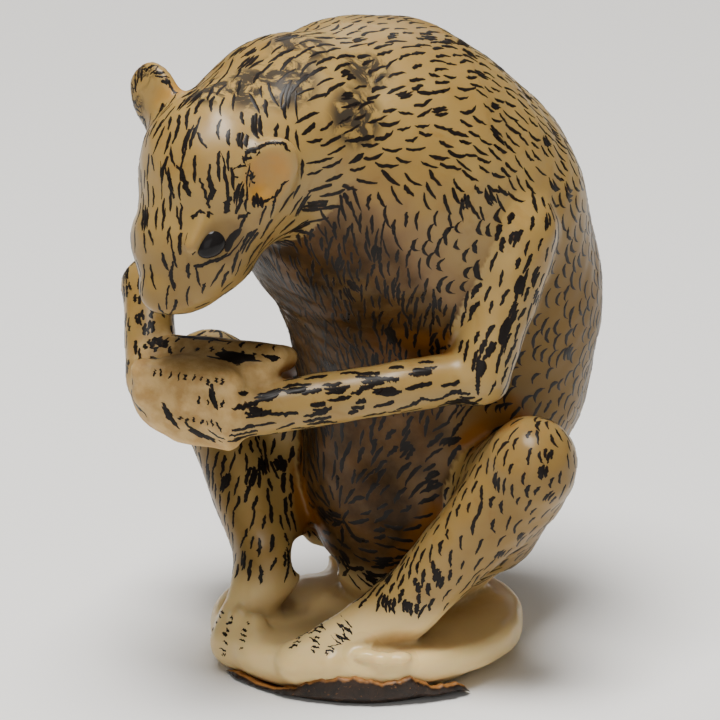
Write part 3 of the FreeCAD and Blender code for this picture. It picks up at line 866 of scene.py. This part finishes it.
def seed_coat():
    """The strip of brown seed coat left around the front of the base, with a torn top edge."""
    random = np.random.RandomState(21)
    turns = np.arange(COAT_EDGE[0][0], COAT_EDGE[-1][0] + 0.1, 0.5)
    heights = np.interp(turns, *np.array(COAT_EDGE).T)
    for waves, size in ((7, 0.16), (19, 0.07), (41, 0.04)):
        phase = random.uniform(0, 6.3)
        wave = size * np.sin(waves * np.radians(turns) * 3 + phase)
        heights = heights + wave * smoothstep(0.2, 1.2, heights)
    heights = np.maximum(heights, 0.12)
    grooves = sum(
        size * np.sin(waves * np.radians(turns) + random.uniform(0, 6.3))
        for waves, size in ((31, 0.05), (57, 0.04), (111, 0.03))
    )
    thin = smoothstep(0.1, 1.0, heights)
    points = []
    film = []
    for turn, height, groove, full in zip(np.radians(turns), heights, grooves, thin):
        bulk = 0.35 * full
        # The foot of the coat draws in towards its right end.
        lean = 1.2 * smoothstep(-0.9, -0.1, turn)
        section = (
            (12.0, 0.0), (13.2 - lean, 0.0), (13.6 - lean, 0.05), (13.85 - lean, 0.22),
            (14.05 + bulk + groove - 0.4 * lean, 0.3 * height + 0.1),
            (14.08 + bulk - groove, 0.62 * height + 0.05), (14.08 + 0.9 * bulk + groove, 0.86 * height),
            (14.05 + 0.6 * bulk, height), (13.85, height + 0.02), (12.9, max(height - 0.4, 0.05)),
        )
        for row, (reach, rise) in enumerate(section):
            points.append(Vector((0.1 + reach * math.cos(turn), 0.1 + reach * math.sin(turn), rise)) * MM)
            film.append((0, 0, 0, 0, 0, 0, 0.25, 1, 1, 1)[row])
    rows = 10
    faces = [tuple(range(rows))[::-1], tuple(range(len(points) - rows, len(points)))]
    for column in range(len(turns) - 1):
        for row in range(rows):
            a = column * rows + row
            b = column * rows + (row + 1) % rows
            faces.append((a, a + rows, b + rows, b)[::-1])
    mesh = bpy.data.meshes.new("seed_coat")
    mesh.from_pydata(points, [], faces)
    mesh.shade_smooth()
    set_attribute(mesh, "film", np.array(film, float))
    piece = bpy.data.objects.new("seed_coat", mesh)
    bpy.context.scene.collection.objects.link(piece)
    return piece


# ---------------------------------------------------------------- materials

class Nodes:
    """A material's node tree, with short calls for the nodes used here."""

    def __init__(self, name):
        self.material = bpy.data.materials.new(name)
        self.material.use_nodes = True
        self.tree = self.material.node_tree
        self.shader = self.tree.nodes["Principled BSDF"]
        self.place = self.tree.nodes.new("ShaderNodeTexCoord").outputs["Object"]

    def link(self, source, target):
        self.tree.links.new(source, target)

    def noise(self, scale, detail=3.0, roughness=0.55, distortion=0.0, place=None):
        node = self.tree.nodes.new("ShaderNodeTexNoise")
        node.inputs["Scale"].default_value = scale
        node.inputs["Detail"].default_value = detail
        node.inputs["Roughness"].default_value = roughness
        node.inputs["Distortion"].default_value = distortion
        self.link(place or self.place, node.inputs["Vector"])
        return node.outputs["Fac"]

    def attribute(self, name):
        node = self.tree.nodes.new("ShaderNodeAttribute")
        node.attribute_name = name
        return node.outputs["Fac"]

    def ramp(self, value, low, high, start=0.0, end=1.0):
        node = self.tree.nodes.new("ShaderNodeMapRange")
        node.inputs["From Min"].default_value = low
        node.inputs["From Max"].default_value = high
        node.inputs["To Min"].default_value = start
        node.inputs["To Max"].default_value = end
        self.link(value, node.inputs["Value"])
        return node.outputs["Result"]

    def maths(self, operation, first, second):
        node = self.tree.nodes.new("ShaderNodeMath")
        node.operation = operation
        for socket, value in zip(node.inputs, (first, second)):
            if isinstance(value, (int, float)):
                socket.default_value = value
            else:
                self.link(value, socket)
        return node.outputs[0]

    def mix(self, amount, first, second):
        node = self.tree.nodes.new("ShaderNodeMix")
        node.data_type = "RGBA"
        self.link(amount, node.inputs["Factor"])
        for name, value in (("A", first), ("B", second)):
            socket = [s for s in node.inputs if s.name == name and s.type == "RGBA"][0]
            if isinstance(value, tuple):
                socket.default_value = (*value, 1)
            else:
                self.link(value, socket)
        return [s for s in node.outputs if s.type == "RGBA"][0]

    def bump(self, height, strength, distance):
        node = self.tree.nodes.new("ShaderNodeBump")
        node.inputs["Strength"].default_value = strength
        node.inputs["Distance"].default_value = distance
        self.link(height, node.inputs["Height"])
        self.link(node.outputs["Normal"], self.shader.inputs["Normal"])


# Base colours, as linear red, green and blue; pairs are mixed by a noise.
IVORY = ((0.262, 0.163, 0.047), (0.345, 0.230, 0.076))
FLECK = (0.22, 0.115, 0.022)
# A warm brown for the front of the trunk below the neck: partly brown staining, partly painted shade under
# the head.
WARM = (0.150, 0.074, 0.025)
# Brown staining on the chest and belly, made dark enough to stand for painted shade as well.
STAIN_AND_SHADE = ((0.022, 0.0105, 0.0030), (0.068, 0.030, 0.0078))
# Painted shade for the lower right of the trunk and the near leg; on the lower face it is painted shade over
# smudged grey ink.
SHADE_AND_SMUDGE = (0.150, 0.090, 0.030)
# Pale cream for the base and feet: paler ivory, made lighter still as painted light.
CREAM = (0.80, 0.60, 0.28)
ROUGH_HANDS = ((0.34, 0.205, 0.065), (0.46, 0.305, 0.120))
EAR_ORANGE = (0.400, 0.195, 0.030)
# Painted shade in creases and hollows, tinted amber as a painted glow of light through thin ivory.
CREASE = (0.20, 0.072, 0.008)
SMEAR = (0.030, 0.026, 0.022)
INK = ((0.105, 0.055, 0.022), (0.010, 0.008, 0.007))
LACQUER = ((0.006, 0.006, 0.007), (0.014, 0.012, 0.011))
COAT = ((0.006, 0.004, 0.003), (0.032, 0.016, 0.008))
COAT_SCRATCH = (0.30, 0.12, 0.028)
COAT_TORN = (0.33, 0.14, 0.035)
FLOOR = ((0.86, 0.86, 0.85), (0.89, 0.89, 0.88))


def flesh_material():
    """Polished ivory flesh, with the stains, smudges, painted shade and painted light that paint_flesh
    stored.
    """
    nodes = Nodes("polished_nut_flesh")
    cloud = nodes.ramp(nodes.noise(90, 4), 0.35, 0.68)
    colour = nodes.mix(cloud, *IVORY)
    fleck = nodes.ramp(nodes.noise(420, 3, distortion=0.6), 0.56, 0.74, 0.0, 0.45)
    colour = nodes.mix(fleck, colour, FLECK)
    # Warm brown below the neck: brown staining with painted shade.
    warm_attribute = nodes.attribute("warm")
    warm = nodes.maths("MULTIPLY", warm_attribute, nodes.ramp(nodes.noise(200, 4), 0.3, 0.7, 0.55, 0.95))
    colour = nodes.mix(warm, colour, WARM)
    # Brown staining on the chest and belly, with painted shade on their downward-facing parts and on the far
    # leg.
    stain_and_shade_noise = nodes.ramp(nodes.noise(160, 5, 0.6), 0.25, 0.75, 0.55, 1.25)
    stain_and_shade = nodes.maths("MULTIPLY", nodes.attribute("stain_and_shade"), stain_and_shade_noise)
    stain_and_shade = nodes.maths("MINIMUM", nodes.maths("MULTIPLY", stain_and_shade, 0.95), 0.96)
    stain_and_shade_colour = nodes.mix(nodes.ramp(nodes.noise(260, 4), 0.4, 0.65), *STAIN_AND_SHADE)
    colour = nodes.mix(stain_and_shade, colour, stain_and_shade_colour)
    # Painted shade on the lower right of the trunk, the near leg and the lower face, with smudged ink on the
    # face.
    shade_and_smudge = nodes.attribute("shade_and_smudge")
    colour = nodes.mix(nodes.ramp(shade_and_smudge, 0, 1, 0, 0.85), colour, SHADE_AND_SMUDGE)
    # Pale cream on the base and feet, partly paler ivory and partly painted light.
    colour = nodes.mix(nodes.ramp(nodes.attribute("base"), 0, 1, 0, 0.9), colour, CREAM)
    hands = nodes.attribute("hands")
    grain = nodes.ramp(nodes.noise(700, 4), 0.4, 0.62)
    colour = nodes.mix(hands, colour, nodes.mix(grain, *ROUGH_HANDS))
    ear_attribute = nodes.attribute("ear")
    ear_inside = nodes.maths("MULTIPLY", ear_attribute, nodes.ramp(nodes.noise(500, 3), 0.3, 0.6, 0.35, 0.9))
    colour = nodes.mix(ear_inside, colour, EAR_ORANGE)
    # Painted shade in creases, tinted amber as a painted glow of light through the ivory, broken up by a
    # noise and weaker on the base.
    crease = nodes.attribute("crease")
    crease_patches = nodes.ramp(nodes.noise(240, 4), 0.3, 0.7, 0.5, 1.3)
    crease = nodes.maths("MULTIPLY", nodes.ramp(crease, 0.34, 0.80), crease_patches)
    crease = nodes.maths("MULTIPLY", crease, nodes.ramp(nodes.attribute("base"), 0, 1, 1.0, 0.35))
    crease = nodes.maths("MINIMUM", crease, 0.9)
    colour = nodes.mix(crease, colour, CREASE)
    smear = nodes.ramp(nodes.noise(420, 6, 0.65, distortion=1.2), 0.44, 0.52)
    smear = nodes.maths("MULTIPLY", smear, nodes.attribute("smudge"))
    smear = nodes.maths("MULTIPLY", smear, 0.94)
    colour = nodes.mix(smear, colour, SMEAR)
    nodes.link(colour, nodes.shader.inputs["Base Color"])
    shine = nodes.ramp(nodes.noise(300, 4), 0.3, 0.7, 0.28, 0.42)
    rough = nodes.maths("ADD", shine, nodes.maths("MULTIPLY", hands, 0.30))
    rough = nodes.maths("SUBTRACT", rough, nodes.maths("MULTIPLY", nodes.attribute("wet"), 0.18))
    nodes.link(rough, nodes.shader.inputs["Roughness"])
    nodes.shader.inputs["Subsurface Weight"].default_value = 0.35
    nodes.shader.inputs["Subsurface Radius"].default_value = (1.0, 0.55, 0.25)
    nodes.shader.inputs["Subsurface Scale"].default_value = 1.4 * MM
    dull = nodes.maths("MAXIMUM", nodes.maths("MAXIMUM", stain_and_shade, nodes.attribute("smudge")), shade_and_smudge)
    nodes.link(nodes.ramp(dull, 0, 1, 0.27, 0.04), nodes.shader.inputs["Specular IOR Level"])
    nodes.shader.inputs["Coat Weight"].default_value = 0.05
    nodes.shader.inputs["Coat Roughness"].default_value = 0.16
    nodes.shader.inputs["IOR"].default_value = 1.54
    chips = nodes.maths("MULTIPLY", nodes.noise(1500, 5, 0.65), nodes.ramp(hands, 0, 1, 0.10, 1.0))
    nodes.bump(chips, 0.5, 0.12 * MM)
    return nodes.material


def ink_material():
    nodes = Nodes("black_ink")
    film = nodes.attribute("film")
    patchy = nodes.maths("ADD", film, nodes.ramp(nodes.noise(1300, 3), 0.3, 0.7, -0.25, 0.25))
    thick = nodes.ramp(patchy, 0.02, 0.42)
    colour = nodes.mix(thick, *INK)
    nodes.link(colour, nodes.shader.inputs["Base Color"])
    nodes.link(nodes.ramp(nodes.noise(500, 2), 0.3, 0.7, 0.26, 0.42), nodes.shader.inputs["Roughness"])
    nodes.shader.inputs["Specular IOR Level"].default_value = 0.12
    return nodes.material


def lacquer_material():
    nodes = Nodes("black_lacquer")
    colour = nodes.mix(nodes.noise(260, 2), *LACQUER)
    nodes.link(colour, nodes.shader.inputs["Base Color"])
    nodes.link(nodes.ramp(nodes.noise(600, 2), 0.3, 0.7, 0.07, 0.13), nodes.shader.inputs["Roughness"])
    nodes.shader.inputs["Specular IOR Level"].default_value = 0.12
    return nodes.material


def coat_material():
    nodes = Nodes("brown_seed_coat")
    streak = nodes.ramp(nodes.noise(420, 5, 0.65, 1.5), 0.35, 0.65)
    colour = nodes.mix(streak, *COAT)
    scratch = nodes.ramp(nodes.noise(900, 4, 0.7, 3.0), 0.63, 0.70)
    colour = nodes.mix(nodes.maths("MULTIPLY", scratch, 0.8), colour, COAT_SCRATCH)
    edge = nodes.attribute("film")
    torn = nodes.maths("ADD", edge, nodes.ramp(nodes.noise(1100, 3), 0.3, 0.7, -0.35, 0.25))
    colour = nodes.mix(nodes.ramp(torn, 0.35, 0.9, 0.0, 0.9), colour, COAT_TORN)
    nodes.link(colour, nodes.shader.inputs["Base Color"])
    nodes.link(nodes.ramp(nodes.noise(800, 3), 0.3, 0.7, 0.30, 0.55), nodes.shader.inputs["Roughness"])
    nodes.shader.inputs["Specular IOR Level"].default_value = 0.3
    nodes.bump(nodes.noise(1400, 5, 0.7), 0.6, 0.15 * MM)
    return nodes.material


def floor_material():
    nodes = Nodes("pale_floor")
    colour = nodes.mix(nodes.noise(14, 3), *FLOOR)
    nodes.link(colour, nodes.shader.inputs["Base Color"])
    nodes.shader.inputs["Roughness"].default_value = 0.8
    return nodes.material


# ---------------------------------------------------------------- camera and light

VIEW_AZIMUTH = math.radians(45)
VIEW_ELEVATION = math.radians(20)
VIEW_TARGET = (-0.6, -0.6, 27.1)
VIEW_WIDTH = 63.2
LENS = 600


def camera():
    """A camera far off with a long lens, so that the view is nearly parallel, as the photograph's is."""
    level = math.cos(VIEW_ELEVATION)
    back = Vector(
        (math.sin(VIEW_AZIMUTH) * level, -math.cos(VIEW_AZIMUTH) * level, math.sin(VIEW_ELEVATION))
    )
    target = Vector(VIEW_TARGET) * MM
    data = bpy.data.cameras.new("camera")
    data.lens = LENS
    view_width = VIEW_WIDTH * MM
    distance = view_width * data.lens / data.sensor_width
    data.clip_start = 0.01
    eye = bpy.data.objects.new("camera", data)
    eye.location = target + back * distance
    eye.rotation_euler = back.to_track_quat("Z", "Y").to_euler()
    bpy.context.scene.collection.objects.link(eye)
    bpy.context.scene.camera = eye


def area_light(name, place, size, power, colour, aim=(0, 0, 0.03)):
    data = bpy.data.lights.new(name, "AREA")
    data.size = size
    data.energy = power
    data.color = colour
    lamp = bpy.data.objects.new(name, data)
    lamp.location = place
    lamp.rotation_euler = (Vector(place) - Vector(aim)).to_track_quat("Z", "Y").to_euler()
    bpy.context.scene.collection.objects.link(lamp)


def studio():
    bpy.ops.mesh.primitive_plane_add(size=6, location=(0, 0, 0))
    floor = bpy.context.object
    floor.name = "floor"
    floor.data.materials.append(floor_material())
    area_light("key", (0.03, -0.08, 0.50), 0.24, 5.0, (1.0, 0.97, 0.93))
    area_light("fill", (0.30, -0.40, 0.24), 0.40, 0.7, (1.0, 0.98, 0.96))
    area_light("rim", (-0.30, 0.35, 0.35), 0.30, 0.4, (1.0, 0.97, 0.94))
    world = bpy.data.worlds.new("studio")
    world.use_nodes = True
    background = world.node_tree.nodes["Background"]
    background.inputs["Color"].default_value = (1.0, 0.99, 0.97, 1)
    background.inputs["Strength"].default_value = 0.06
    bpy.context.scene.world = world


REGIONS = figure_shapes()
names = list(REGIONS)
flesh = make_flesh()
flesh.data.materials.append(flesh_material())
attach(flesh, "root")
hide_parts(*[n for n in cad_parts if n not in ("nut_skin", "left_eye", "right_eye")])
ink = ink_material()
lacquer = lacquer_material()
for side in ("left", "right"):
    eye = lacquer_eye(side)
    eye.data.materials.append(lacquer)
    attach(eye, "root")
    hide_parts(f"{side}_eye")
coat = seed_coat()
coat.data.materials.append(coat_material())
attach(coat, "root")
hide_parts("nut_skin")
pen = draw_fur(flesh)
draw_ticks(pen)
draw_blots(pen)
fur = pen.finish("ink_fur")
fur.data.materials.append(ink)
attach(fur, "root")
camera()
studio()
